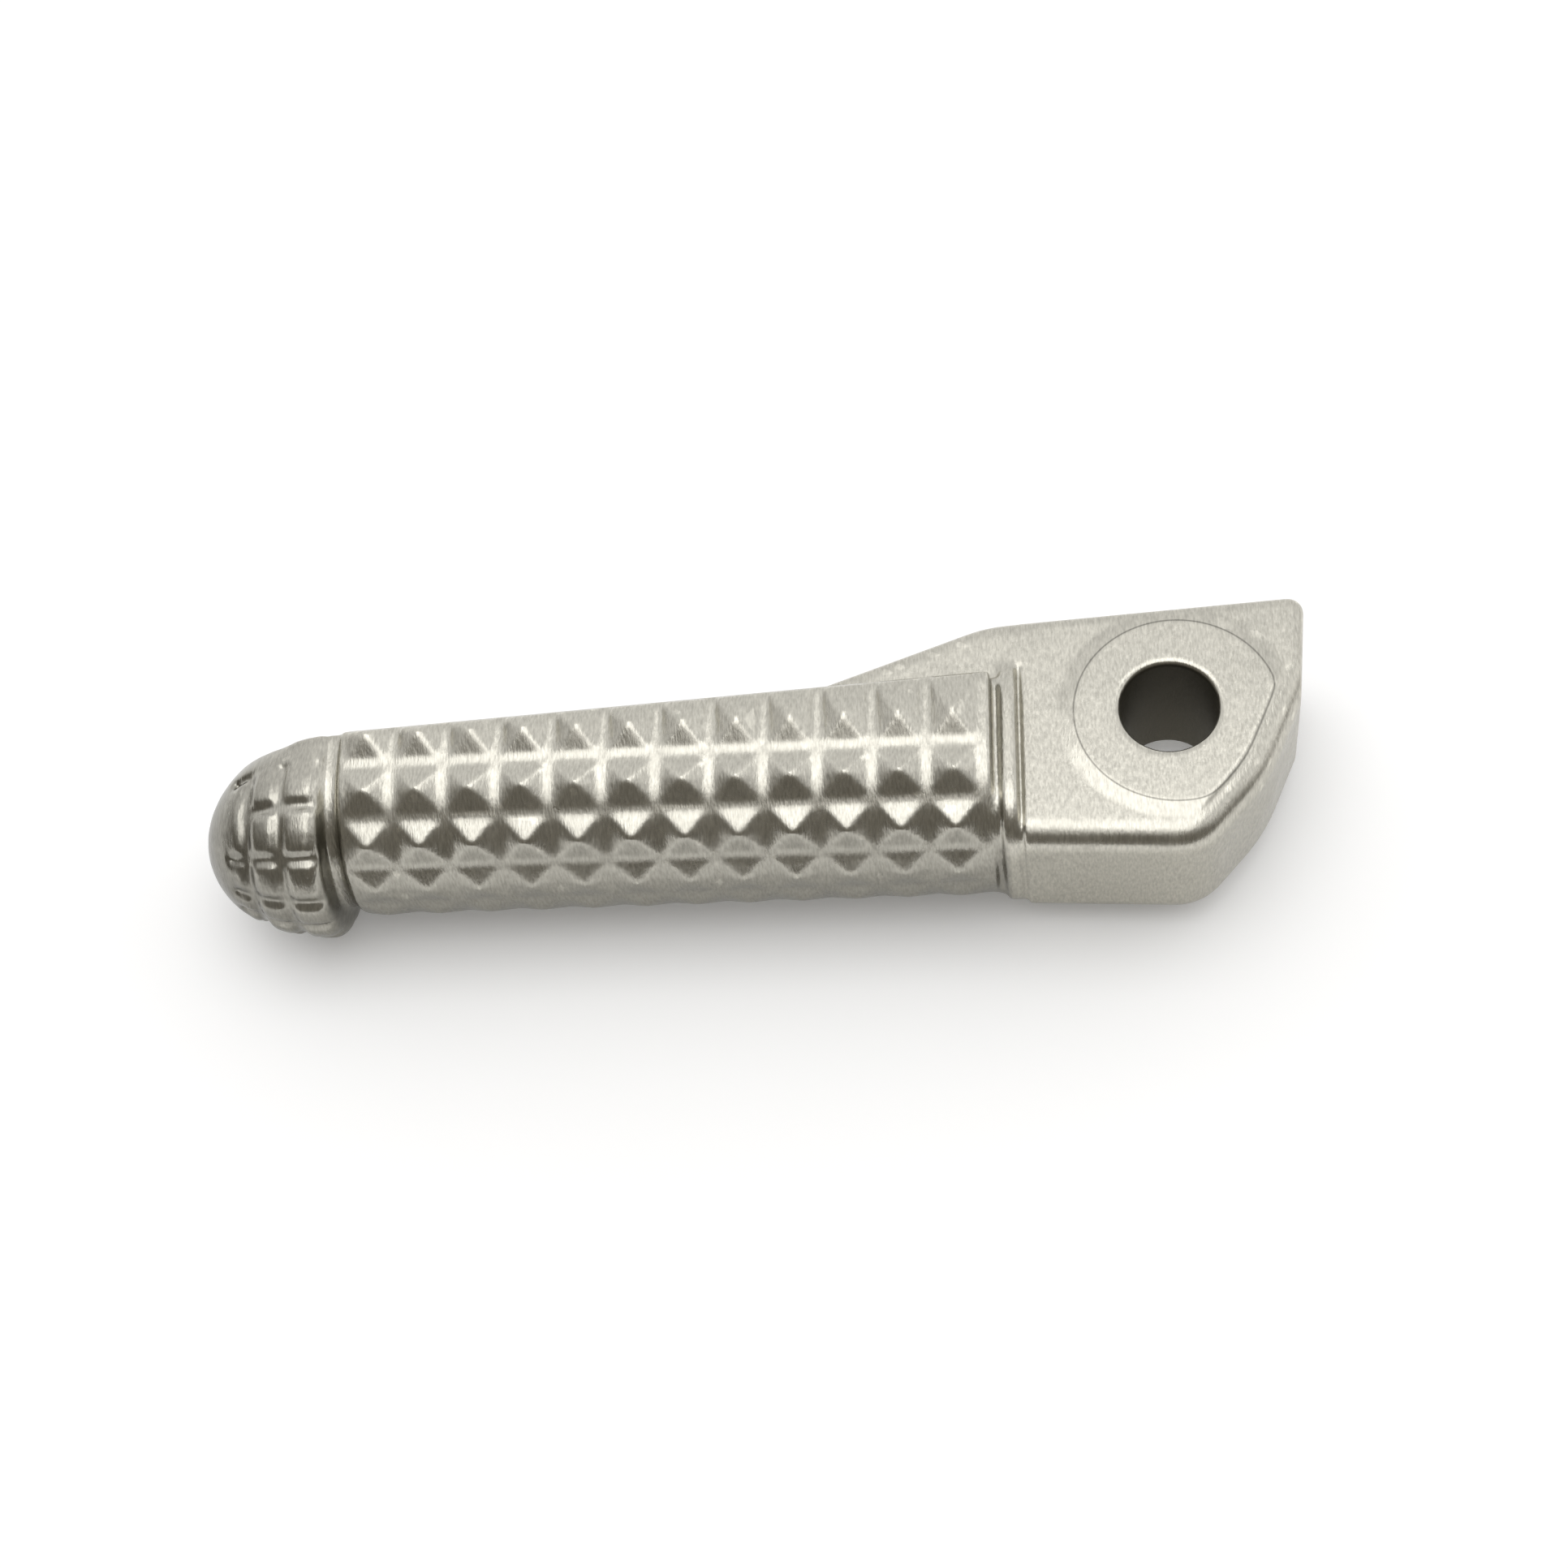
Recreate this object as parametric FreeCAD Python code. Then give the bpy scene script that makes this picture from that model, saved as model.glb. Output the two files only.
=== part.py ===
import FreeCAD
import Part

import math
import os

# Rear footrest of a motorcycle, one aluminium casting.
#
# Frame: the origin is on the axis of the pivot bore, halfway through the lug. +Z runs along the bore,
# +X from the nose to the lug, and -Y is the side that the boot presses on. Millimetres and degrees.
# The casting is the same above and below the plane z = 0, but its studs run out below the front.

# Pivot lug
BORE_DIAMETER = 10.0
BORE_EDGE_BREAK = 0.35
LUG_THICKNESS = 16.5
LUG_FRONT = 15.45
LUG_FRONT_ANGLE = 3.0
LUG_BACK = 12.0
LUG_END = 13.35
END_FACE_ANGLE = 85.0
LUG_ROOT = 15.0
LUG_EDGE_ROUND = 2.6
CLEARANCE_FACE_FRONT = 3.0
CLEARANCE_FACE_ANGLE = 49.0
CLEARANCE_TIP_ANGLE = 67.0
CLEARANCE_TIP_LENGTH = 5.0
FRONT_CORNER_ROUND = 6.0
CLEARANCE_BEND_ROUND = 20.0
HEEL_ROUND = 1.6

# Boss around the bore, a raised face that the bracket's cheek runs on, with a sloping flank
BOSS_DIAMETER = 20.9
BOSS_X = 0.75
BOSS_Y = -0.35
BOSS_RISE = 0.3
BOSS_FLANK = 1.6
BOSS_INSET = 2.7

# Flat back of the casting, which leans away from the grip's axis towards the lug
BACK_ANGLE = 3.4
GRIP_BACK = 5.05
BACK_EDGE_ROUND = 0.8

# Web behind the grip, a ramp from its back up to the lug
WEB_TOP_X = -18.5
WEB_RAMP_ANGLE = 17.0
WEB_BEND_ROUND = 14.0
WEB_EDGE_ROUND = 1.2
WEB_ROOT = 1.0

# Collar between the lug and the grip, with a groove on each side
ROOT_GROOVE_WIDTH = 0.5
ROOT_GROOVE_DEPTH = 0.4
ROOT_GROOVE_BACK = 1.6
COLLAR_WIDTH = 1.7
COLLAR_RISE = 1.4
COLLAR_STEP = 0.1
COLLAR_ROUND = 6.0
COLLAR_BACK = 5.2
COLLAR_BACK_ROUND = 8.0
COLLAR_GROOVE_WIDTH = 0.9
COLLAR_GROOVE_DEPTH = 0.7

# Grip
GRIP_LENGTH = 67.5
GRIP_RADIUS = 11.0
GRIP_AXIS_Y = -4.0

# Studs of the grip
STUD_COLUMNS = 12
FIRST_ROW_ANGLE = 17.25
STUD_ROW_ANGLE = 29.1
STUD_BASE = 4.25
ROUND_STUD_HEIGHTS = (1.15, 1.15, 0.7, 0.5)
FLAT_STUD_HEIGHT = 1.6
FLAT_STUD_FRONT = 2.45
STUD_PLINTH = 0.08
STUD_ROOT = 0.9
FIRST_STUD_COLUMN = 3.0
LAST_STUD_COLUMN = 3.78
STUD_PITCH = (GRIP_LENGTH - FIRST_STUD_COLUMN - LAST_STUD_COLUMN) / (STUD_COLUMNS - 1)
BACK_STRIP_WIDTH = 0.6
BACK_STEP = 0.45

# Nose, a dome whose tip leans to the front, with bevelled blocks on it
NOSE_GROOVE_WIDTH = 1.8
NOSE_GROOVE_DEPTH = 0.8
NOSE_LENGTH = 14.6
NOSE_RADIUS = 11.3
NOSE_AXIS_Y = -6.4
NOSE_TILT = 11.7
NOSE_TIP_LENGTH = 2.75
RING_SHARES = (3.75, 3.35, 3.25)
BLOCK_ROW_EDGES = (-31.0, 0.0, 32.0, 64.0, 90.0)
BLOCK_AXIS_Y = -8.5
BLOCK_HEIGHT = 0.7
BLOCK_BEVEL = 0.6
BLOCK_ROOT = 0.2
BLOCK_GROOVE_WIDTH = 0.5
NOSE_BACK_BAND = 2.9
SHOULDER_LENGTH = 8.5
SHOULDER_RADIUS = 11.0
SHOULDER_AXIS_Y = -3.5
SKIN_CONES = 20
FLOOR_CONES = 10

# Places along the casting that follow from the sizes above
ROOT_X = -LUG_ROOT
COLLAR_X = ROOT_X - ROOT_GROOVE_WIDTH
COLLAR_GROOVE_X = COLLAR_X - COLLAR_WIDTH
GRIP_X = COLLAR_GROOVE_X - COLLAR_GROOVE_WIDTH
NOSE_GROOVE_X = GRIP_X - GRIP_LENGTH
NOSE_X = NOSE_GROOVE_X - NOSE_GROOVE_WIDTH
BLOCKS_LENGTH = NOSE_LENGTH - NOSE_TIP_LENGTH - len(RING_SHARES) * BLOCK_GROOVE_WIDTH
BLOCK_LENGTHS = [BLOCKS_LENGTH * share / sum(RING_SHARES) for share in RING_SHARES]
LUG_HALF = LUG_THICKNESS / 2
BOSS_HALF = LUG_HALF + BOSS_RISE

# Length of cutting shapes, well past every side of the casting
REACH = 200.0

# How near an edge lies to a line or height that it is picked by
PICK = 1e-6

ORIGIN = FreeCAD.Vector(0, 0, 0)
ALONG_X = FreeCAD.Vector(1, 0, 0)
ALONG_Z = FreeCAD.Vector(0, 0, 1)


def point(x, y, z=0.0):
    return FreeCAD.Vector(x, y, z)


def box(x_low, x_high, y_low, y_high, z_half):
    return Part.makeBox(x_high - x_low, y_high - y_low, 2 * z_half, point(x_low, y_low, -z_half))


def direction(angle):
    """Unit vector in plan, turned by an angle from +X towards +Y."""
    return point(math.cos(math.radians(angle)), math.sin(math.radians(angle)))


def back_point(x, offset):
    """Point at x on a line parallel to the back, which crosses x = 0 at the given y."""
    return point(x, offset + x * math.tan(math.radians(BACK_ANGLE)))


def behind(offset):
    """All space behind a plane parallel to the back."""
    space = box(-REACH, REACH, 0, REACH, REACH)
    space.rotate(ORIGIN, ALONG_Z, BACK_ANGLE)
    space.translate(point(0, offset))
    return space


def crossing(start, start_direction, end, end_direction):
    """Point where two lines in plan meet, each given by a point and a direction."""
    gap = end.sub(start)
    scale = start_direction.cross(end_direction).z
    return start + start_direction * (gap.cross(end_direction).z / scale)


def rounded_prism(corners, z_half):
    """Upright prism on a plan outline of (corner, radius) pairs, each radius rounding its corner."""
    edges = []
    ends = []
    for index, (corner, radius) in enumerate(corners):
        before = (corners[index - 1][0] - corner).normalize()
        after = (corners[(index + 1) % len(corners)][0] - corner).normalize()
        half_angle = before.getAngle(after) / 2
        reach = radius / math.tan(half_angle)
        ends.append((corner + before * reach, corner + after * reach))
        if radius > 0:
            inward = (before + after).normalize()
            middle = corner + inward * (radius / math.sin(half_angle) - radius)
            edges.append(Part.Arc(ends[-1][0], middle, ends[-1][1]).toShape())
    for index, (start, _) in enumerate(ends):
        edges.append(Part.makeLine(ends[index - 1][1], start))
    outline = Part.Wire(Part.__sortEdges__(edges))
    outline.translate(point(0, 0, -z_half))
    return Part.Face(outline).extrude(point(0, 0, 2 * z_half))


def bar(x_low, x_high, front_y, half_height, radius, back=GRIP_BACK):
    """Length of the casting's U-section: rounded in front, with flats above and below, cut at the back."""
    flat_y = front_y + radius
    length = x_high - x_low
    prism = box(x_low, x_high, flat_y, REACH / 2, half_height)
    for side in (1, -1):
        corner_axis = point(x_low, flat_y, side * (half_height - radius))
        prism = prism.fuse(Part.makeCylinder(radius, length, corner_axis, ALONG_X))
    if half_height > radius:
        prism = prism.fuse(box(x_low, x_high, front_y, flat_y, half_height - radius))
    return prism.removeSplitter().cut(behind(back))


def edges_at_height(shape, z, keep):
    """Edges that lie wholly at height z and whose middle point passes the test."""
    found = []
    for edge in shape.Edges:
        bounds = edge.BoundBox
        level = abs(bounds.ZMin - z) < PICK and abs(bounds.ZMax - z) < PICK
        if level and keep(edge.CenterOfMass):
            found.append(edge)
    return found


def rounded_rims(shape, z_half, radius, keep):
    """Round the chosen edges of both flat faces of an upright prism."""
    rims = edges_at_height(shape, z_half, keep) + edges_at_height(shape, -z_half, keep)
    return shape.makeFillet(radius, rims)


def rounded_back(shape, z_half, radius, offset):
    """Round the two long back edges of a bar that was cut at the given offset."""
    return rounded_rims(shape, z_half, radius, lambda p: abs(p.y - back_point(p.x, offset).y) < PICK)


def lug_front_outline(inset):
    """Plan of the lug's front, moved in by the inset: front wall, round corner and clearance face."""
    front = direction(-LUG_FRONT_ANGLE)
    clearance = direction(CLEARANCE_FACE_ANGLE)
    tip = direction(CLEARANCE_TIP_ANGLE)
    front_start = point(0, -LUG_FRONT)
    front_corner = crossing(front_start, front, point(CLEARANCE_FACE_FRONT, -LUG_FRONT), clearance)
    end_corner = crossing(front_corner, clearance, point(LUG_END, 0), direction(END_FACE_ANGLE))
    bend = end_corner - clearance * CLEARANCE_TIP_LENGTH
    front_line = front_start + ALONG_Z.cross(front) * inset
    clearance_line = front_corner + ALONG_Z.cross(clearance) * inset
    tip_line = bend + ALONG_Z.cross(tip) * inset
    inner_bend = crossing(clearance_line, clearance, tip_line, tip)
    return [
        (front_line - front * REACH, 0),
        (crossing(front_line, front, clearance_line, clearance), FRONT_CORNER_ROUND - inset),
        (inner_bend, CLEARANCE_BEND_ROUND - inset),
        (inner_bend + tip * REACH, 0),
        (point(-REACH, REACH), 0),
    ]


def lug_front_half():
    """The lug as seen from its front, with its edges rounded."""
    prism = rounded_prism(lug_front_outline(0), LUG_HALF)
    rounded = rounded_rims(prism, LUG_HALF, LUG_EDGE_ROUND, lambda p: p.x - p.y > -REACH)
    return rounded.common(box(ROOT_X, REACH, -REACH, REACH, REACH))


def lug_back_half():
    """The lug and web as seen from behind: end face, back edge and the ramp down to the grip."""
    ramp = direction(BACK_ANGLE + WEB_RAMP_ANGLE)
    back = direction(BACK_ANGLE)
    ramp_top = back_point(WEB_TOP_X, LUG_BACK)
    ramp_root = crossing(ramp_top, ramp, point(0, GRIP_BACK - WEB_ROOT), back)
    end_face = direction(END_FACE_ANGLE)
    heel = crossing(point(LUG_END, 0), end_face, point(0, LUG_BACK), back)
    corners = [
        (heel, HEEL_ROUND),
        (ramp_top, WEB_BEND_ROUND),
        (ramp_root, 0),
        (point(ramp_root.x, -REACH), 0),
        (heel - end_face * REACH, 0),
    ]
    prism = rounded_prism(corners, LUG_HALF)
    return rounded_rims(prism, LUG_HALF, WEB_EDGE_ROUND, lambda p: p.y > ramp_root.y)


def lug():
    """Lug and web, without the bore. The web stops at the groove beside the collar."""
    back_half = lug_back_half()
    eye = lug_front_half().common(back_half)
    web = back_half.common(box(-REACH, ROOT_X, -REACH, REACH, REACH)).common(behind(GRIP_BACK - WEB_ROOT))
    groove_end = back_point(ROOT_X, GRIP_BACK + ROOT_GROOVE_BACK)
    return [eye, web.cut(box(COLLAR_X, ROOT_X, -REACH, groove_end.y, REACH))]


def bosses():
    """Bosses above and below, clipped beside the clearance face and the back edge."""
    radius = BOSS_DIAMETER / 2
    outline = rounded_prism(lug_front_outline(BOSS_INSET), BOSS_HALF).cut(behind(LUG_BACK - WEB_EDGE_ROUND))
    made = []
    for side in (1, -1):
        foot = point(BOSS_X, BOSS_Y, side * (LUG_HALF - BOSS_RISE))
        cone = Part.makeCone(radius + 2 * BOSS_FLANK, radius, 2 * BOSS_RISE, foot, ALONG_Z * side)
        made.append(cone.common(outline))
    return made


def collar():
    """Collar, and the narrower necks that show at the bottom of its two grooves."""
    root_front = -LUG_FRONT + LUG_ROOT * math.tan(math.radians(LUG_FRONT_ANGLE))
    ring_front = root_front - COLLAR_STEP
    ring_half = LUG_HALF + COLLAR_RISE
    ring_back = GRIP_BACK + COLLAR_BACK
    ring = bar(COLLAR_GROOVE_X, COLLAR_X, ring_front, ring_half, COLLAR_ROUND, ring_back)
    grip_neck = bar(GRIP_X, COLLAR_GROOVE_X, ring_front + COLLAR_GROOVE_DEPTH,
                    ring_half - COLLAR_GROOVE_DEPTH, COLLAR_ROUND - COLLAR_GROOVE_DEPTH)
    lug_neck = bar(COLLAR_X, ROOT_X, root_front + ROOT_GROOVE_DEPTH, LUG_HALF - ROOT_GROOVE_DEPTH,
                   LUG_EDGE_ROUND, GRIP_BACK + ROOT_GROOVE_BACK + WEB_ROOT)
    return [rounded_back(ring, ring_half, COLLAR_BACK_ROUND, ring_back), grip_neck, lug_neck]


def round_bar(x_low, x_high, radius):
    return bar(x_low, x_high, GRIP_AXIS_Y - radius, radius, radius)


def grip():
    """Plain bar of the grip, with its two back edges rounded."""
    plain = round_bar(NOSE_GROOVE_X, GRIP_X, GRIP_RADIUS)
    return rounded_back(plain, GRIP_RADIUS, BACK_EDGE_ROUND, GRIP_BACK)


def closed(polygons):
    """Solid with the given flat faces, each a list of its corners."""
    faces = [Part.Face(Part.makePolygon(corners + corners[:1])) for corners in polygons]
    solid = Part.Solid(Part.Shell(faces))
    if solid.Volume < 0:
        solid.reverse()
    return solid


def stud(rim, apex, inward):
    """Pyramid with a root: a rim on the skin of the grip, an apex, and the way into the metal."""
    depth = rim[0].dot(inward) + STUD_ROOT
    roots = [corner + inward * (depth - corner.dot(inward)) for corner in rim]
    polygons = [roots]
    for index, here in enumerate(rim):
        following = (index + 1) % len(rim)
        polygons.append([here, rim[following], apex])
        polygons.append([here, rim[following], roots[following], roots[index]])
    return closed(polygons)


def on_round(x, angle, radius):
    """Point about the grip's axis, its angle taken from the top towards the front."""
    turn = math.radians(angle)
    return point(x, GRIP_AXIS_Y - radius * math.sin(turn), radius * math.cos(turn))


def round_stud(x, angle, height):
    """Stud of the given height on the round front of the grip."""
    half_angle = math.degrees(STUD_BASE / 2 / GRIP_RADIUS)
    low = x - STUD_BASE / 2
    high = x + STUD_BASE / 2
    places = [(low, -1), (high, -1), (high, 0), (high, 1), (low, 1), (low, 0)]
    rim = [on_round(end, angle + half_angle * side, GRIP_RADIUS + STUD_PLINTH) for end, side in places]
    apex = on_round(x, angle, GRIP_RADIUS + height)
    inward = on_round(x, angle, 0) - on_round(x, angle, 1)
    return stud(rim, apex, inward)


def flat_stud(x):
    """Stud on the flat above, whose back slope ends in a low step before the back edge."""
    strip = math.radians(STUD_ROW_ANGLE) * GRIP_RADIUS - STUD_BASE
    round_start = FIRST_ROW_ANGLE - STUD_ROW_ANGLE / 2
    front_y = GRIP_AXIS_Y - math.radians(round_start) * GRIP_RADIUS + strip / 2
    flat = GRIP_RADIUS + STUD_PLINTH
    step = GRIP_RADIUS + BACK_STEP
    x_low = x - STUD_BASE / 2
    x_high = x + STUD_BASE / 2
    rim = [
        point(x_low, front_y, flat),
        point(x_high, front_y, flat),
        back_point(x_high, GRIP_BACK - BACK_STRIP_WIDTH) + point(0, 0, step),
        back_point(x_low, GRIP_BACK - BACK_STRIP_WIDTH) + point(0, 0, step),
    ]
    apex = point(x, front_y + FLAT_STUD_FRONT, GRIP_RADIUS + FLAT_STUD_HEIGHT)
    return stud(rim, apex, -ALONG_Z)


def studs():
    """All studs of the grip, column by column. The rows get lower below the front."""
    made = []
    for column in range(STUD_COLUMNS):
        x = NOSE_GROOVE_X + FIRST_STUD_COLUMN + column * STUD_PITCH
        made.append(flat_stud(x))
        for row, height in enumerate(ROUND_STUD_HEIGHTS):
            made.append(round_stud(x, FIRST_ROW_ANGLE + row * STUD_ROW_ANGLE, height))
    return made


def dome(length, radius, axis_y, cones):
    """Half an ellipsoid as a stack of cones, its tip tilted to the front and its back cut flat."""
    rim = []
    for step in range(cones + 1):
        turn = math.pi * step / cones
        rim.append(point(-length * math.cos(turn), radius * math.sin(turn)))
    stack = Part.Face(Part.makePolygon(rim + rim[:1])).revolve(ORIGIN, ALONG_X, 360)
    stack.rotate(ORIGIN, ALONG_Z, NOSE_TILT)
    stack.translate(point(NOSE_X, axis_y))
    return stack.common(box(-REACH, NOSE_X, -REACH, REACH, REACH)).cut(behind(GRIP_BACK))


def dome_units(vector, sink):
    """Vector along the sunk dome's own axes, each axis measured in half-lengths of the dome."""
    tilt = math.radians(NOSE_TILT)
    along = vector.x * math.cos(tilt) + vector.y * math.sin(tilt)
    across = vector.y * math.cos(tilt) - vector.x * math.sin(tilt)
    return point(along / (NOSE_LENGTH - sink), across / (NOSE_RADIUS - sink), vector.z / (NOSE_RADIUS - sink))


def dome_radius(x, angle, sink):
    """Distance from the blocks' axis to the sunk dome, its angle taken from the top towards the front."""
    outward = point(0, -math.sin(math.radians(angle)), math.cos(math.radians(angle)))
    step = dome_units(outward, sink)
    start = dome_units(point(x - NOSE_X, BLOCK_AXIS_Y - NOSE_AXIS_Y), sink)
    along = start.dot(step)
    return (math.sqrt(along ** 2 - step.dot(step) * (start.dot(start) - 1)) - along) / step.dot(step)


def block_rim(x_low, x_high, angle_low, angle_high, inset, sink):
    """Two lines of three points on the sunk dome: the rim of a block's cell, moved in by the inset."""
    rim = []
    for x in (x_low + inset, x_high - inset):
        inset_angle = math.degrees(inset / dome_radius(x, (angle_low + angle_high) / 2, sink))
        low = angle_low + inset_angle
        high = angle_high - inset_angle
        line = []
        for angle in (low, (low + high) / 2, high):
            turn = math.radians(angle)
            radius = dome_radius(x, angle, sink)
            line.append(point(x, BLOCK_AXIS_Y - radius * math.sin(turn), radius * math.cos(turn)))
        rim.append(line)
    return rim


def block(x_low, x_high, angle_low, angle_high):
    """Low block with sloping sides, which run on into the dome as a root."""
    top = block_rim(x_low, x_high, angle_low, angle_high, BLOCK_BEVEL, 0)
    outset = BLOCK_BEVEL * BLOCK_ROOT / BLOCK_HEIGHT
    root = block_rim(x_low, x_high, angle_low, angle_high, -outset, BLOCK_HEIGHT + BLOCK_ROOT)
    patches = []
    for half in (0, 1):
        for level in (top, root):
            patches.append((level[0][half], level[0][half + 1], level[1][half + 1], level[1][half]))
        for side in (0, 1):
            patches.append((top[side][half], top[side][half + 1], root[side][half + 1], root[side][half]))
    for end in (0, 2):
        patches.append((top[0][end], top[1][end], root[1][end], root[0][end]))
    triangles = []
    for first, second, third, fourth in patches:
        triangles.extend([[first, second, third], [first, third, fourth]])
    return closed(triangles)


def blocks():
    """Blocks of the nose, ring by ring, alike above and below."""
    half_angle = math.degrees(BLOCK_GROOVE_WIDTH / 2 / NOSE_RADIUS)
    rows = list(zip(BLOCK_ROW_EDGES, BLOCK_ROW_EDGES[1:]))
    rows += [(180 - high, 180 - low) for low, high in rows]
    made = []
    x = NOSE_X - BLOCK_GROOVE_WIDTH / 2
    for length in BLOCK_LENGTHS:
        for low, high in rows:
            made.append(block(x - length, x, low + half_angle, high - half_angle))
        x -= length + BLOCK_GROOVE_WIDTH
    return made


def nose():
    """Dome of the nose with its blocks, and the neck in the groove beside the grip.

    The skin is whole along the back, at the tip, and between the last ring's two middle rows."""
    skin = dome(NOSE_LENGTH, NOSE_RADIUS, NOSE_AXIS_Y, SKIN_CONES)
    floor = dome(NOSE_LENGTH - BLOCK_HEIGHT, NOSE_RADIUS - BLOCK_HEIGHT, NOSE_AXIS_Y, FLOOR_CONES)
    shoulder = dome(SHOULDER_LENGTH, SHOULDER_RADIUS, SHOULDER_AXIS_Y, SKIN_CONES)
    band = skin.common(behind(GRIP_BACK - NOSE_BACK_BAND))
    last_ring_end = NOSE_X - sum(BLOCK_LENGTHS) - (len(BLOCK_LENGTHS) - 0.5) * BLOCK_GROOVE_WIDTH
    tip = skin.common(box(-REACH, last_ring_end + 2 * BLOCK_BEVEL, -REACH, REACH, REACH))
    bridge_end = last_ring_end + BLOCK_LENGTHS[-1] - BLOCK_BEVEL
    bridge_half = BLOCK_GROOVE_WIDTH + BLOCK_BEVEL
    bridge_front = BLOCK_AXIS_Y - bridge_half
    bridge = skin.common(box(last_ring_end, bridge_end, bridge_front, bridge_front + 2 * bridge_half, REACH))
    neck = round_bar(NOSE_X, NOSE_GROOVE_X, GRIP_RADIUS - NOSE_GROOVE_DEPTH)
    return [floor.multiFuse(blocks() + [shoulder, band, tip, bridge]), neck]


def bore():
    """Pivot bore with its two edges broken."""
    radius = BORE_DIAMETER / 2
    tools = [Part.makeCylinder(radius, 2 * REACH, point(0, 0, -REACH), ALONG_Z)]
    for side in (1, -1):
        start = point(0, 0, side * (BOSS_HALF - BORE_EDGE_BREAK))
        depth = 2 * BORE_EDGE_BREAK
        tools.append(Part.makeCone(radius, radius + depth, depth, start, ALONG_Z * side))
    return tools


def footrest():
    plain = grip().multiFuse(lug() + bosses() + collar() + nose()).removeSplitter()
    bored = plain.cut(bore())
    return bored.multiFuse(studs())


def main():
    os.makedirs("parts", exist_ok=True)
    casting = footrest()
    casting.exportStep("parts/footrest.step")
    print("solids", len(casting.Solids), "valid", casting.isValid(), "volume", round(casting.Volume, 1))


if __name__ == "__main__":
    main()
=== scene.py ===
"""Studio picture of a motorcycle rear footrest: one satin aluminium casting on a pale floor."""

import logging
import math
from dataclasses import dataclass, field

import bpy
from mathutils import Euler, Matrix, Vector


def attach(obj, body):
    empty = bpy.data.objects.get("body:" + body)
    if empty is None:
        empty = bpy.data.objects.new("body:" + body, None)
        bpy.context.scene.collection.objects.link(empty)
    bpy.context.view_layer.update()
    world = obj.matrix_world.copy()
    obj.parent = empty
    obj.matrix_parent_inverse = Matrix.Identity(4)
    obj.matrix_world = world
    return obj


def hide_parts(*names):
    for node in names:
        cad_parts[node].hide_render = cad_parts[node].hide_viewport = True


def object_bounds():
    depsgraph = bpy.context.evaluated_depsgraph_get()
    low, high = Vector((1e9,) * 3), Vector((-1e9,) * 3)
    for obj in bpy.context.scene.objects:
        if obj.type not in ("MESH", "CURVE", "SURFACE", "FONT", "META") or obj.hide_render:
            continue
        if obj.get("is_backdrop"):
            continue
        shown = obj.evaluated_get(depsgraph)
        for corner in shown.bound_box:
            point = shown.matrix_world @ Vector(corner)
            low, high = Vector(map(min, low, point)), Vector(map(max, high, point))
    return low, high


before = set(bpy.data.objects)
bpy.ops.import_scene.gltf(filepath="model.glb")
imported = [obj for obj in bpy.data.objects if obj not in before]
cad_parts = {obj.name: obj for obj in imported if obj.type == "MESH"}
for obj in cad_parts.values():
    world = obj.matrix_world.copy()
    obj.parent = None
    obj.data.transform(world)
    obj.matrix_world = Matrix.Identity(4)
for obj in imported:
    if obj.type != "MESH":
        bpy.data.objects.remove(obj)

LOG = logging.getLogger("footrest")

MM = 0.001
RISING = (0.0, 1.0)
FALLING = (1.0, 0.0)
WHITE = (1.0, 1.0, 1.0)
IN_PLAN = (1.0, 1.0, 0.0)

Pair = tuple[float, float]
Triple = tuple[float, float, float]
Socket = bpy.types.NodeSocket
Value = Socket | float | tuple | list | Vector


@dataclass(frozen=True)
class Noise:
    """Pattern of a noise.

    Attributes:
        size_mm: Size of its grain along X, Y and Z.
        detail: Octaves of finer grain.
    """

    size_mm: Triple
    detail: float


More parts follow.
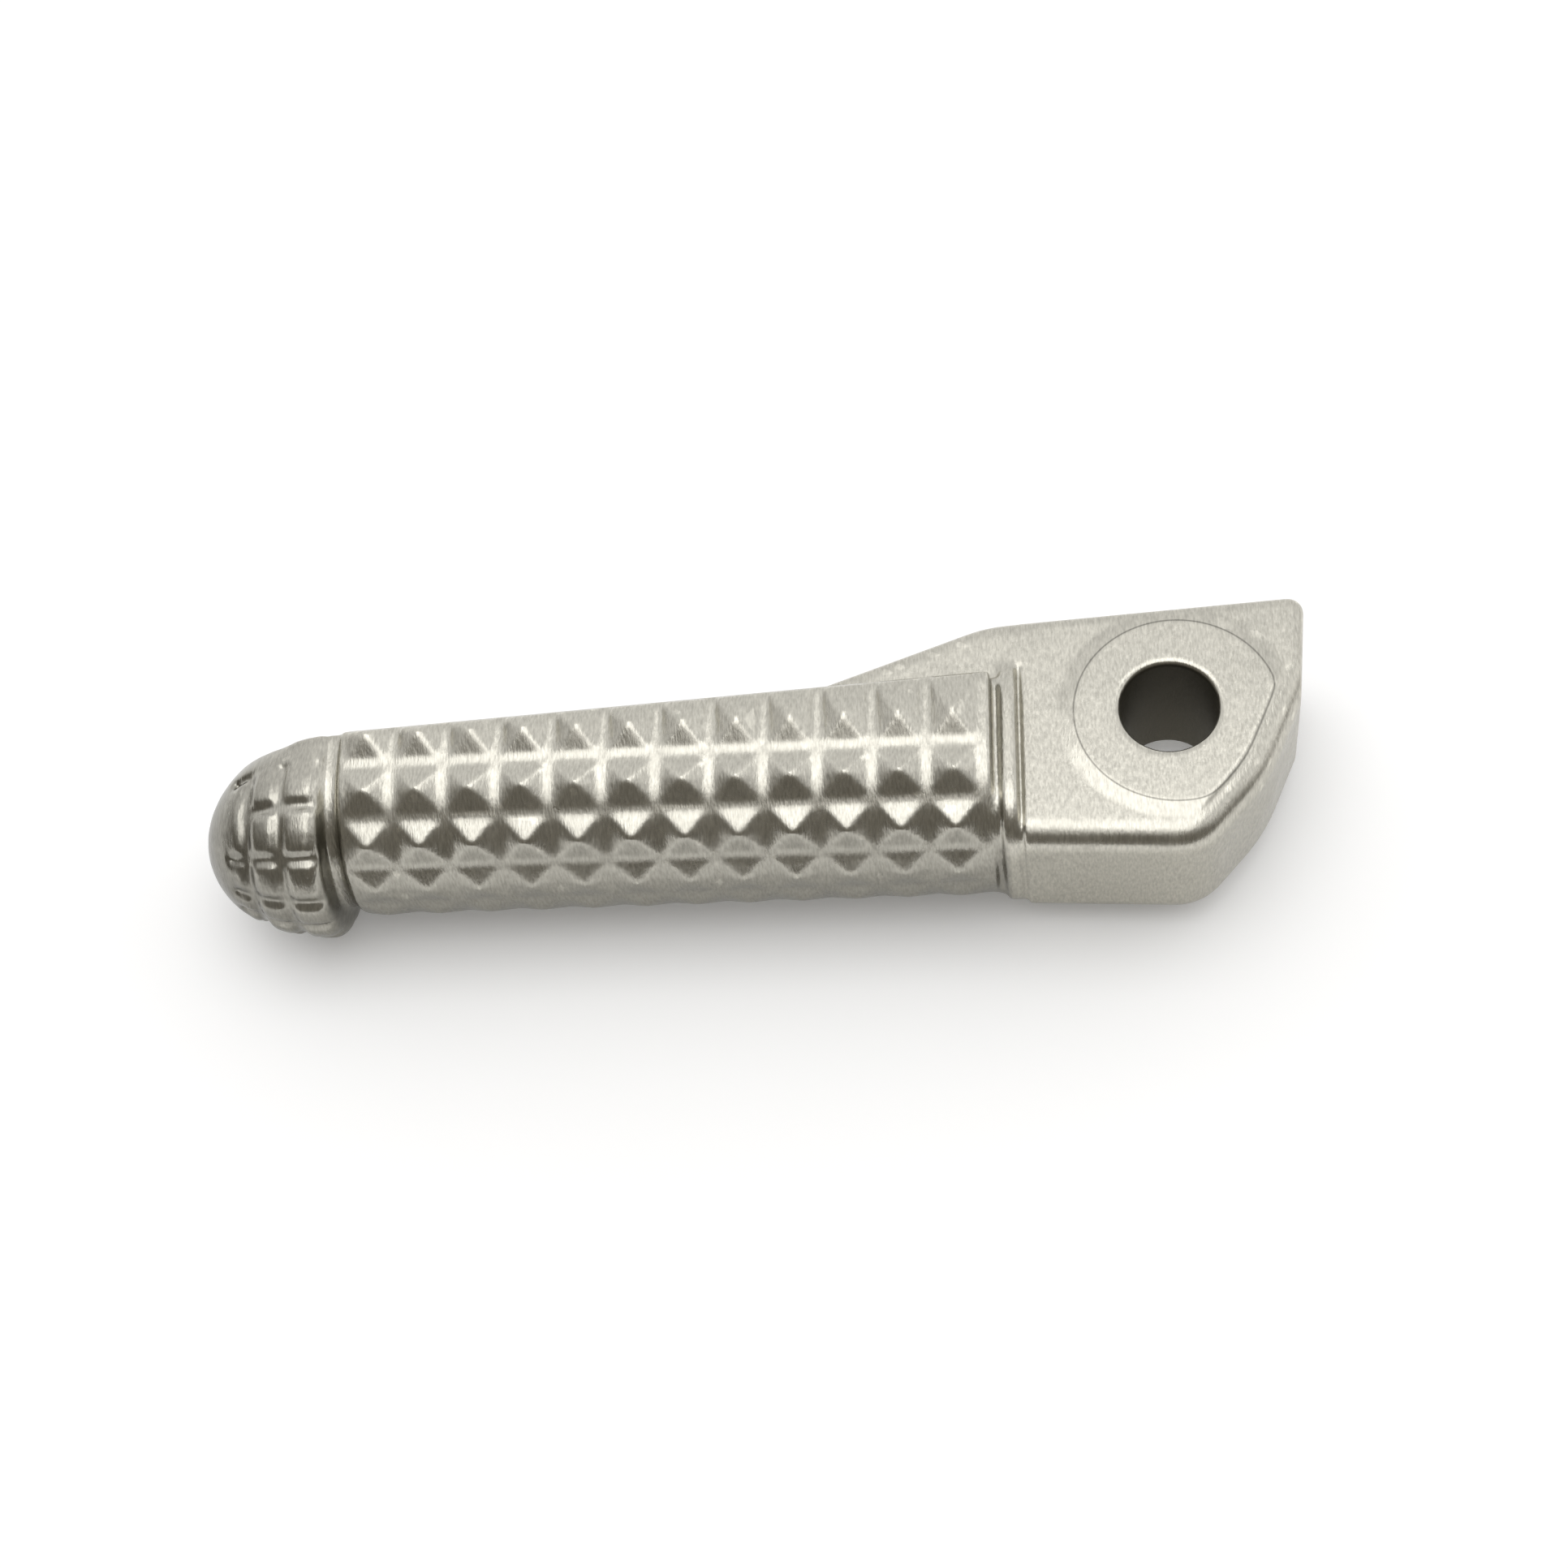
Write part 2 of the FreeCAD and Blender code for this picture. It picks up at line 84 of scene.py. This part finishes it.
@dataclass(frozen=True)
class CastFinishAndPaintedLight:
    """Finish of a blasted aluminium casting, with painted shade and painted highlight.

    Colours are linear. A tilt is the part of a face's normal along Z: 1 looks up, 0 sideways and -1 down.
    A bend is Blender's pointiness: 0.5 is flat, less is a groove and more is an edge. A share is how much of
    its colour the skin keeps.

    Attributes:
        colour: Colour of the faces that look up, free of painted shade.
        painted_shade_colour: Colour of the faces that look down: painted shade.
        shade_tilt: Tilts between which the painted shade turns into the other colour.
        groove_bend: Bends of the deepest grooves and of the skin beside them.
        groove_highlight_share: Share in the grooves between the studs, which are lighter: painted highlight.
        edge_bend: Bends of the skin beside edges and of the sharpest edges.
        edge_share: Share on the edges, which are worn bright.
        tip_mm: Places along X between which the nose gets lighter, away from its tip.
        tip_share: Share at the tip.
        grip_shade_tilt: Tilts between which the painted shade on the grip fades, towards the faces that look
            up.
        grip_shade_mm: Places along X between which the grip's painted shade ends, before the lug.
        grip_shade_share: Share on the grip's sideways and downward faces: painted shade.
        grain: The blasted grain.
        grain_ends: Values of its noise in the darkest and brightest streaks.
        grain_share: Shares in those streaks.
        grain_depth_mm: Depth of its relief.
        dimples: The casting's own uneven patches.
        dimple_depth_mm: Depth of those patches.
        clouds: Soft patches of gloss.
        cloud_ends: Values of their noise in the glossiest and dullest patches.
        roughness: Roughness of those patches.
        bore_shade_colour: Colour of the bore's wall, dark: painted shade.
        bore_roughness: Roughness of the bore's wall.
    """

    colour: Triple = (0.53, 0.512, 0.452)
    painted_shade_colour: Triple = (0.26, 0.246, 0.195)
    shade_tilt: Pair = (-0.5, 0.4)
    groove_bend: Pair = (0.45, 0.497)
    groove_highlight_share: float = 1.35
    edge_bend: Pair = (0.505, 0.57)
    edge_share: float = 1.25
    tip_mm: Pair = (-101.6, -84.0)
    tip_share: float = 0.5
    grip_shade_tilt: Pair = (0.2, 0.75)
    grip_shade_mm: Pair = (-18.0, -16.5)
    grip_shade_share: float = 0.62
    grain: Noise = Noise((0.2, 0.8, 0.8), 2.0)
    grain_ends: Pair = (0.25, 0.75)
    grain_share: Pair = (0.8, 1.18)
    grain_depth_mm: float = 0.03
    dimples: Noise = Noise((0.9, 0.9, 0.9), 2.0)
    dimple_depth_mm: float = 0.012
    clouds: Noise = Noise((7.0, 7.0, 7.0), 3.0)
    cloud_ends: Pair = (0.3, 0.7)
    roughness: Pair = (0.22, 0.32)
    bore_shade_colour: Triple = (0.17, 0.157, 0.123)
    bore_roughness: float = 0.5


@dataclass(frozen=True)
class BossShadeLine:
    """Painted shade line around the machined boss at the bore.

    Attributes:
        centre_mm: Middle of the round part, in plan.
        radius_mm: Radius of the round part.
        flats: The flat parts, each as the way in from it, in degrees from +X, and its distance from the bore.
        corner_mm: How far the corners between the parts are eased.
        heights_mm: The line fades in between these heights above and below the lug's middle.
        half_width_mm: Half the line's width.
        share: How much of its colour the skin keeps on the line.
    """

    centre_mm: Pair = (0.75, -0.35)
    radius_mm: float = 10.45
    flats: tuple[Pair, ...] = ((139.0, 9.7), (157.0, 9.26))
    corner_mm: float = 1.2
    heights_mm: Pair = (8.15, 8.3)
    half_width_mm: float = 0.16
    share: float = 0.45


@dataclass(frozen=True)
class FloorFinish:
    """Finish of the plain studio floor.

    Attributes:
        colour: Colour of the floor, linear.
        roughness: Roughness of the floor.
        lift: Light that takes the floor to white where it is looked at.
    """

    colour: Triple = (0.95, 0.95, 0.95)
    roughness: float = 0.9
    lift: float = 0.17


def metres(ends_mm: Pair) -> Pair:
    """Turn the ends of a range from millimetres into metres.

    Args:
        ends_mm: The ends in millimetres.

    Returns:
        The ends in metres.
    """
    return ends_mm[0] * MM, ends_mm[1] * MM


def opaque(colour: Triple) -> tuple[float, float, float, float]:
    """Give a colour its fourth value.

    Args:
        colour: Red, green and blue.

    Returns:
        The colour as a socket takes it.
    """
    return (*colour, 1.0)


class Graph:
    """Node tree of a material or world, with short calls for the nodes that are used here."""

    def __init__(self, owner: bpy.types.Material | bpy.types.World) -> None:
        """Take over an owner's node tree.

        Args:
            owner: The material or world.
        """
        owner.use_nodes = True
        self.nodes = owner.node_tree.nodes
        self.links = owner.node_tree.links

    def feed(self, node: bpy.types.Node, inputs: dict[str | int, Value]) -> None:
        """Give a node's inputs their values.

        Args:
            node: The node.
            inputs: Outputs of other nodes, or plain values, by the input's name or number.
        """
        for name, value in inputs.items():
            if isinstance(value, Socket):
                self.links.new(value, node.inputs[name])
            else:
                node.inputs[name].default_value = value

    def node(self, kind: str, inputs: dict[str | int, Value], **settings: object) -> bpy.types.Node:
        """Add a node.

        Args:
            kind: The node's type, without the leading word.
            inputs: Values of its inputs, as feed takes them.
            settings: The node's own settings by name.

        Returns:
            The new node.
        """
        made = self.nodes.new("ShaderNode" + kind)
        for name, value in settings.items():
            setattr(made, name, value)
        self.feed(made, inputs)
        return made

    def place(self, kind: str) -> Socket:
        """Read the place or the way that is being coloured.

        Args:
            kind: Object for a place on an object, in metres, or Generated for a way into the world.

        Returns:
            The coordinates.
        """
        return self.node("TexCoord", {}).outputs[kind]

    def part(self, vector: Socket, axis: str) -> Socket:
        """Take one part of a vector.

        Args:
            vector: The vector.
            axis: X, Y or Z.

        Returns:
            The part along that axis.
        """
        return self.node("SeparateXYZ", {"Vector": vector}).outputs[axis]

    def along(self, vector: Socket, way: Triple | Vector) -> Socket:
        """Measure a vector along a way.

        Args:
            vector: The vector.
            way: The way, of length 1.

        Returns:
            How far the vector goes along it.
        """
        return self.node("VectorMath", {0: vector, 1: way}, operation="DOT_PRODUCT").outputs["Value"]

    def plan_distance(self, place: Socket, centre_mm: Pair) -> Socket:
        """Measure how far a place is from a centre in plan.

        Args:
            place: Coordinates in metres.
            centre_mm: The centre.

        Returns:
            The distance in metres.
        """
        to_place = {0: place, 1: IN_PLAN, 2: (-centre_mm[0] * MM, -centre_mm[1] * MM, 0.0)}
        plan = self.node("VectorMath", to_place, operation="MULTIPLY_ADD").outputs["Vector"]
        return self.node("VectorMath", {0: plan}, operation="LENGTH").outputs["Value"]

    def noise(self, place: Socket, pattern: Noise) -> Socket:
        """Add a noise.

        Args:
            place: Coordinates in metres.
            pattern: Size and detail of its grain.

        Returns:
            The noise's value, about 0.5 in the middle.
        """
        scale = [1 / (size * MM) for size in pattern.size_mm]
        stretched = self.node("Mapping", {"Vector": place, "Scale": scale}).outputs["Vector"]
        texture = self.node("TexNoise", {"Vector": stretched, "Scale": 1.0, "Detail": pattern.detail})
        return texture.outputs["Fac"]

    def spread(self, value: Socket, old: Pair, new: Pair, kind: str = "LINEAR") -> Socket:
        """Spread a value from one range over another.

        Args:
            value: The value.
            old: Its range.
            new: The range that it gets.
            kind: How it runs between the ends.

        Returns:
            The new value.
        """
        inputs = {"Value": value, "From Min": old[0], "From Max": old[1], "To Min": new[0], "To Max": new[1]}
        return self.node("MapRange", inputs, interpolation_type=kind).outputs["Result"]

    def calculate(self, operation: str, *values: Socket | float) -> Socket:
        """Work something out from one to three values.

        Args:
            operation: What to work out, such as MULTIPLY.
            values: Outputs of other nodes, or numbers.

        Returns:
            The result.
        """
        return self.node("Math", dict(enumerate(values)), operation=operation).outputs["Value"]

    def mix(self, kind: str, share: Socket, first: Value, second: Value) -> Socket:
        """Mix two values.

        Args:
            kind: FLOAT for numbers or RGBA for colours.
            share: How much of the second value there is, from 0 to 1.
            first: The first value.
            second: The second value.

        Returns:
            The mixed value.
        """
        return self.node("Mix", {"Factor": share, "A": first, "B": second}, data_type=kind).outputs["Result"]

    def relief(self, height: Socket, depth_mm: float, below: Socket | None = None) -> Socket:
        """Add relief to a surface.

        Args:
            height: Height of the relief, from 0 to 1.
            depth_mm: What a height of 1 stands for.
            below: Relief that this one lies on.

        Returns:
            The surface's normal.
        """
        bump = self.node("Bump", {"Height": height, "Distance": depth_mm * MM})
        if below is not None:
            self.feed(bump, {"Normal": below})
        return bump.outputs["Normal"]


def select_only(piece: bpy.types.Object) -> None:
    """Leave one object selected and active.

    Args:
        piece: The object to work on.
    """
    bpy.ops.object.select_all(action="DESELECT")
    piece.select_set(True)
    bpy.context.view_layer.objects.active = piece


def apply_modifier(piece: bpy.types.Object, kind: str, **settings: object) -> None:
    """Add one modifier to an object, set it and apply it.

    Args:
        piece: The object to change.
        kind: The modifier's type.
        settings: The modifier's settings by name.
    """
    select_only(piece)
    modifier = piece.modifiers.new(kind.title(), kind)
    for name, value in settings.items():
        setattr(modifier, name, value)
    bpy.ops.object.modifier_apply(modifier=modifier.name)


@dataclass(frozen=True)
class Casting:
    """The footrest's casting, with an even skin that is soft on the grip and softest on the nose.

    Attributes:
        node: Name of the CAD node that the casting stands for.
        slot: Name of a material slot, which is not used.
        finish: Finish of the skin, with its painted shade and painted highlight.
        boss: Painted shade line around the boss.
        weld_mm: Corners of the CAD mesh that are nearer than this are one corner.
        voxel_mm: Fineness of the new skin.
        smoothing: Rounds of smoothing, each with the place along X, in mm, up to which they go.
        bore_mm: Radius of the bore, and where its rim ends.
        bore_centre_mm: Middle of the bore, in plan.
        triangles: Most triangles of the finished skin.
    """

    node: str = "footrest"
    slot: str = "cast_aluminium"
    finish: CastFinishAndPaintedLight = field(default_factory=CastFinishAndPaintedLight)
    boss: BossShadeLine = field(default_factory=BossShadeLine)
    weld_mm: float = 0.001
    voxel_mm: float = 0.18
    smoothing: tuple[tuple[int, float], ...] = ((4, 20.0), (16, -15.0), (26, -87.0))
    bore_mm: Pair = (5.0, 5.25)
    bore_centre_mm: Pair = (0.0, 0.0)
    triangles: int = 190_000

    def build(self) -> None:
        """Make the casting and put it in the place of its CAD node."""
        piece = self.copy_of_node()
        self.soften(piece)
        piece.data.materials.clear()
        piece.data.materials.append(self.material())
        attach(piece, "root")
        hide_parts(self.node)

    def copy_of_node(self) -> bpy.types.Object:
        """Copy the CAD node's mesh and join its loose triangles.

        Returns:
            A new object with one closed mesh.
        """
        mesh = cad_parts[self.node].data.copy()
        mesh.name = "casting"
        piece = bpy.data.objects.new("casting", mesh)
        bpy.context.scene.collection.objects.link(piece)
        select_only(piece)
        bpy.ops.object.mode_set(mode="EDIT")
        bpy.ops.mesh.select_all(action="SELECT")
        bpy.ops.mesh.remove_doubles(threshold=self.weld_mm * MM)
        bpy.ops.mesh.normals_make_consistent(inside=False)
        bpy.ops.object.mode_set(mode="OBJECT")
        return piece

    def soften(self, piece: bpy.types.Object) -> None:
        """Give the casting an even skin with soft edges.

        Args:
            piece: The casting's object.
        """
        apply_modifier(piece, "REMESH", mode="VOXEL", voxel_size=self.voxel_mm * MM)
        for rounds, limit_mm in self.smoothing:
            inside = [vertex.index for vertex in piece.data.vertices if vertex.co.x < limit_mm * MM]
            soft = piece.vertex_groups.new(name="soft")
            soft.add(inside, 1.0, "REPLACE")
            apply_modifier(piece, "SMOOTH", factor=1.0, iterations=rounds, vertex_group=soft.name)
        triangles = sum(len(face.vertices) - 2 for face in piece.data.polygons)
        LOG.info("skin of %d triangles before thinning", triangles)
        if triangles > self.triangles:
            apply_modifier(piece, "DECIMATE", ratio=self.triangles / triangles)
        bpy.ops.object.shade_smooth()
        apply_modifier(piece, "WEIGHTED_NORMAL", mode="FACE_AREA")
        LOG.info("skin of %d faces", len(piece.data.polygons))

    def material(self) -> bpy.types.Material:
        """Make the casting's material.

        Returns:
            A metal with blasted grain, soft patches of gloss, bright edges, painted highlight in the grooves,
            and painted shade below, on the grip's sides and in the bore.
        """
        finish = self.finish
        material = bpy.data.materials.new("cast aluminium")
        graph = Graph(material)
        place = graph.place("Object")
        # Painted shade: the bore's wall gets a dark colour.
        in_bore = graph.spread(graph.plan_distance(place, self.bore_centre_mm), metres(self.bore_mm), FALLING)
        streaks = graph.noise(place, finish.grain)
        skin = self.skin_colour(graph, place, streaks)
        rough = graph.spread(graph.noise(place, finish.clouds), finish.cloud_ends, finish.roughness)
        dimples = graph.relief(graph.noise(place, finish.dimples), finish.dimple_depth_mm)
        graph.feed(graph.nodes["Principled BSDF"], {
            "Metallic": 1.0,
            "Base Color": graph.mix("RGBA", in_bore, skin, opaque(finish.bore_shade_colour)),
            "Roughness": graph.mix("FLOAT", in_bore, rough, finish.bore_roughness),
            "Normal": graph.relief(streaks, finish.grain_depth_mm, dimples),
        })
        return material

    def skin_colour(self, graph: Graph, place: Socket, streaks: Socket) -> Socket:
        """Colour the skin: painted shade below and on the grip's sides, painted highlight in grooves, bright
        edges, and streaks all over.

        Args:
            graph: The material's nodes.
            place: Coordinates in metres.
            streaks: The blasted grain, about 0.5 in the middle.

        Returns:
            The skin's colour.
        """
        finish = self.finish
        shape = graph.node("NewGeometry", {})
        bend = shape.outputs["Pointiness"]
        tilt = graph.part(shape.outputs["Normal"], "Z")
        lengthwise = graph.part(place, "X")
        # Painted shade: faces that look down get the darker colour.
        lit_facing = graph.spread(tilt, finish.shade_tilt, RISING)
        colour = graph.mix("RGBA", lit_facing, opaque(finish.painted_shade_colour), opaque(finish.colour))
        # Painted shade on the grip's sideways and downward faces, none on the lug.
        grip_shade = graph.spread(tilt, finish.grip_shade_tilt, (finish.grip_shade_share, 1.0))
        on_lug = graph.spread(lengthwise, metres(finish.grip_shade_mm), RISING)
        shares = (
            # Painted highlight: the grooves between the studs get lighter.
            graph.spread(bend, finish.groove_bend, (finish.groove_highlight_share, 1.0)),
            graph.spread(bend, finish.edge_bend, (1.0, finish.edge_share)),
            graph.spread(streaks, finish.grain_ends, finish.grain_share),
            graph.spread(lengthwise, metres(finish.tip_mm), (finish.tip_share, 1.0)),
            graph.calculate("MAXIMUM", grip_shade, on_lug),
        )
        # Painted shade: a dark line around the boss.
        kept = self.boss_shade_line(graph, place)
        for share in shares:
            kept = graph.calculate("MULTIPLY", kept, share)
        return graph.node("VectorMath", {0: colour, "Scale": kept}, operation="SCALE").outputs["Vector"]

    def boss_shade_line(self, graph: Graph, place: Socket) -> Socket:
        """Draw the painted shade line around the boss.

        Args:
            graph: The material's nodes.
            place: Coordinates in metres.

        Returns:
            How much of its colour the skin keeps: less on the line, and 1 elsewhere.
        """
        boss = self.boss
        inside = graph.calculate("SUBTRACT", boss.radius_mm * MM, graph.plan_distance(place, boss.centre_mm))
        for angle, distance_mm in boss.flats:
            turn = math.radians(angle)
            across = graph.along(place, (math.cos(turn), math.sin(turn), 0.0))
            from_flat = graph.calculate("ADD", across, distance_mm * MM)
            inside = graph.calculate("SMOOTH_MIN", inside, from_flat, boss.corner_mm * MM)
        aside = graph.calculate("ABSOLUTE", inside)
        line = graph.spread(aside, metres((0.0, boss.half_width_mm)), FALLING, "SMOOTHSTEP")
        height = graph.calculate("ABSOLUTE", graph.part(place, "Z"))
        on_boss = graph.spread(height, metres(boss.heights_mm), RISING)
        return graph.spread(graph.calculate("MULTIPLY", line, on_boss), RISING, (1.0, boss.share))


@dataclass(frozen=True)
class Lamp:
    """A large, soft, square lamp that faces the casting.

    Attributes:
        name: Name of the lamp.
        way: The way from the casting to the lamp.
        distance: How far from the casting, in metres.
        size: Side of the square, in metres.
        brightness: How bright the lamp looks, where 1 is white.
    """

    name: str
    way: Triple
    distance: float
    size: float
    brightness: float

    def build(self, target: Triple) -> None:
        """Hang the lamp.

        Args:
            target: The place that it faces, in metres.
        """
        data = bpy.data.lights.new(self.name, "AREA")
        data.shape = "SQUARE"
        data.size = self.size
        # The power of a flat lamp is its brightness times pi times its area.
        data.energy = self.brightness * math.pi * self.size * self.size
        lamp = bpy.data.objects.new(self.name, data)
        away = Vector(self.way).normalized()
        lamp.location = Vector(target) + away * self.distance
        lamp.rotation_euler = away.to_track_quat("Z", "Y").to_euler()
        bpy.context.scene.collection.objects.link(lamp)


@dataclass(frozen=True)
class Studio:
    """Floor, lamps, surroundings and camera.

    Attributes:
        floor_finish: Finish of the floor.
        floor_size: Side of the square floor, in metres.
        bright_side: The way to the brightest part of the room.
        room_edges: Where the room's light starts to rise and stops, along that way.
        dark_room: Light of the room's dark part.
        bright_room: Light of the room's bright part.
        lamps: The lamps.
        lamp_target: The place that the lamps face, in metres.
        camera_place_mm: Place of the camera.
        camera_turn_deg: Turn of the camera about X, Y and Z.
        lens_mm: Focal length.
        sensor_mm: Width of the sensor.
        nearest: Nearest distance that the camera sees, in metres.
    """

    floor_finish: FloorFinish = field(default_factory=FloorFinish)
    floor_size: float = 4.0
    bright_side: Triple = (0.12, 0.74, 0.66)
    room_edges: Pair = (0.0, 0.6)
    dark_room: Triple = (0.19, 0.177, 0.153)
    bright_room: Triple = (0.97, 0.97, 0.97)
    lamps: tuple[Lamp, ...] = (
        Lamp("top lamp", (0.0, 0.01, 1.0), distance=0.6, size=0.54, brightness=1.15),
        Lamp("right lamp", (1.0, 0.1, 0.5), distance=0.8, size=0.5, brightness=0.3),
        Lamp("front lamp", (0.0, -0.54, 0.84), distance=0.8, size=0.2, brightness=0.7),
    )
    lamp_target: Triple = (-0.04, 0.0, 0.0)
    camera_place_mm: Triple = (-8.556, -140.576, 263.686)
    camera_turn_deg: Triple = (27.521, 6.436, 0.848)
    lens_mm: float = 65.17
    sensor_mm: float = 36.0
    nearest: float = 0.01

    def build(self) -> None:
        """Set up the studio."""
        self.camera()
        self.floor()
        self.surroundings()
        for lamp in self.lamps:
            lamp.build(self.lamp_target)

    def camera(self) -> None:
        """Place the camera where the photograph was taken from, and keep the tones plain."""
        data = bpy.data.cameras.new("camera")
        data.lens = self.lens_mm
        data.sensor_width = self.sensor_mm
        data.clip_start = self.nearest
        camera = bpy.data.objects.new("camera", data)
        camera.location = Vector(self.camera_place_mm) * MM
        camera.rotation_euler = Euler([math.radians(turn) for turn in self.camera_turn_deg], "XYZ")
        bpy.context.scene.collection.objects.link(camera)
        bpy.context.scene.camera = camera
        bpy.context.scene.view_settings.view_transform = "Standard"

    def floor(self) -> None:
        """Lay a plain pale floor under the lowest point of the casting."""
        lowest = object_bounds()[0][2]
        bpy.ops.object.select_all(action="DESELECT")
        bpy.ops.mesh.primitive_plane_add(size=self.floor_size, location=(0.0, 0.0, lowest))
        floor = bpy.context.active_object
        floor.name = "floor"
        floor.data.materials.append(self.floor_material())
        floor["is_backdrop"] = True

    def floor_material(self) -> bpy.types.Material:
        """Make the floor's material.

        Returns:
            A matt white that is lifted a little where it is seen, straight or in the metal.
        """
        finish = self.floor_finish
        material = bpy.data.materials.new("pale floor")
        graph = Graph(material)
        rays = graph.node("LightPath", {}).outputs
        seen = rays["Is Camera Ray"]
        for other in ("Is Glossy Ray", "Is Transmission Ray"):
            seen = graph.calculate("MAXIMUM", seen, rays[other])
        graph.feed(graph.nodes["Principled BSDF"], {
            "Base Color": opaque(finish.colour),
            "Roughness": finish.roughness,
            "Specular IOR Level": 0.0,
            "Emission Color": opaque(WHITE),
            "Emission Strength": graph.spread(seen, RISING, (0.0, finish.lift)),
        })
        return material

    def surroundings(self) -> None:
        """Light the room: bright above and behind, dark in front, where the camera stands."""
        world = bpy.data.worlds.new("studio")
        graph = Graph(world)
        towards = graph.along(graph.place("Generated"), Vector(self.bright_side).normalized())
        share = graph.spread(towards, self.room_edges, RISING, "SMOOTHSTEP")
        light = graph.mix("RGBA", share, opaque(self.dark_room), opaque(self.bright_room))
        graph.feed(graph.nodes["Background"], {"Color": light})
        bpy.context.scene.world = world


def main() -> None:
    """Build the casting and its studio."""
    logging.basicConfig(level=logging.INFO)
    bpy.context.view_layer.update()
    Casting().build()
    Studio().build()


if __name__ == "__main__":
    main()
